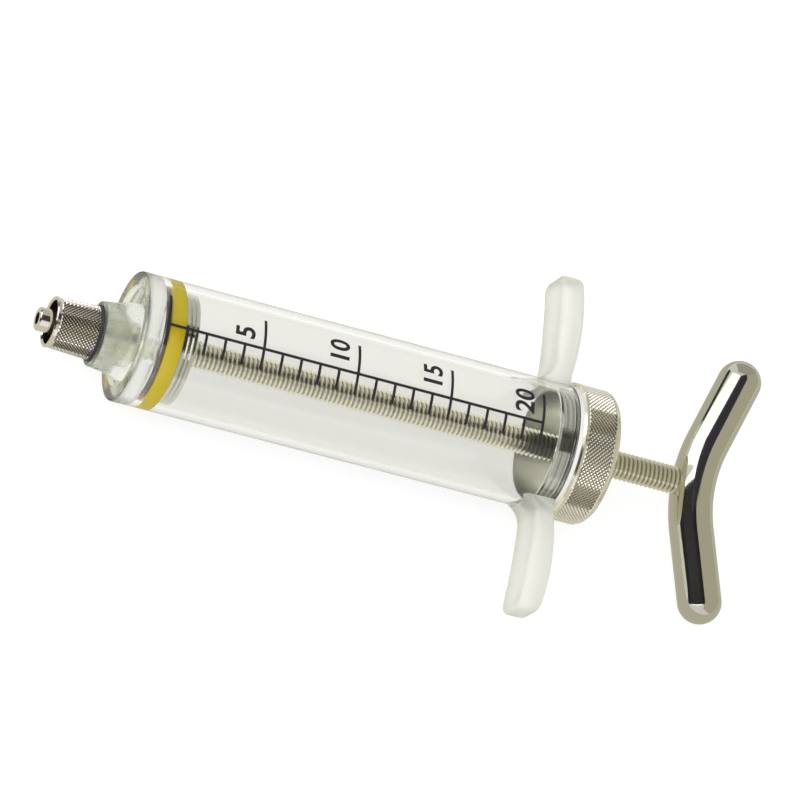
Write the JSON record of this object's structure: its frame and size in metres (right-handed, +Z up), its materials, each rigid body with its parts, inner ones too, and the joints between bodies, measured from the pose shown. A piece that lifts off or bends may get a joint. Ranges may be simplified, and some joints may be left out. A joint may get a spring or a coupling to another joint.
{
  "type": "luer lock syringe",
  "caption": "Refillable clear syringe with a male luer lock fitting, finger wings, a rubber piston seal on a threaded rod, a screwed rear cap and a bent T-handle.",
  "frame": {"origin": "below the middle of the syringe's box, on the surface that it lies on", "axes": "+X along the barrel's axis from the luer cone to the handle, +Z up, +Y across the barrel, away from the finger wing that touches the surface"},
  "size_m": [0.1276, 0.0584, 0.0234],
  "materials": {
    "clear_plastic": "clear, polished",
    "black_rubber": "smooth",
    "nickel_fitting": "nickel plate, knurled",
    "plate_metal": "nickel plate, turned",
    "yellow_rubber": "smooth",
    "rod_metal": "threaded",
    "white_ring": "plain",
    "nickel_cap": "nickel plate, knurled",
    "polished_handle": "polished"
  },
  "bodies": {
    "barrel": {"barrel": "clear_plastic"},
    "seal": {"piston_seal": "yellow_rubber"},
    "plunger": {"piston_front_plate": "plate_metal", "piston_rear_plate": "plate_metal", "plunger_rod": "rod_metal", "t_handle": "polished_handle"},
    "washer": {"rear_washer": "white_ring"},
    "cap": {"rear_cap": "nickel_cap"},
    "gasket": {"front_gasket": "black_rubber"},
    "fitting": {"luer_fitting": "nickel_fitting"}
  },
  "joints": [
    {"name": "plunger_draw", "type": "slide", "parent": "barrel", "child": "seal", "axis": [1, 0, 0], "range_m": [0, 0.06697]},
    {"name": "plunger_turn", "type": "hinge", "parent": "seal", "child": "plunger", "pos_m": [0, 0, 0.0117], "axis": [1, 0, 0], "continuous": true},
    {"name": "cap_travel", "type": "slide", "parent": "barrel", "child": "washer", "axis": [1, 0, 0], "range_m": [0, 0.0033]},
    {"name": "cap_turn", "type": "hinge", "parent": "washer", "child": "cap", "pos_m": [0, 0, 0.0117], "axis": [1, 0, 0], "range_deg": [0, 1190]},
    {"name": "fitting_travel", "type": "slide", "parent": "barrel", "child": "gasket", "axis": [-1, 0, 0], "range_m": [0, 0.0058]},
    {"name": "fitting_turn", "type": "hinge", "parent": "gasket", "child": "fitting", "pos_m": [-0.0557, -0.00091, 0.01144], "axis": [-1, 0, 0], "range_deg": [0, 2090]}
  ],
  "couplings": [
    {"joint": "cap_turn", "follows": "cap_travel", "rad_per_m": 6283.2},
    {"joint": "fitting_turn", "follows": "fitting_travel", "rad_per_m": 6283.2}
  ]
}
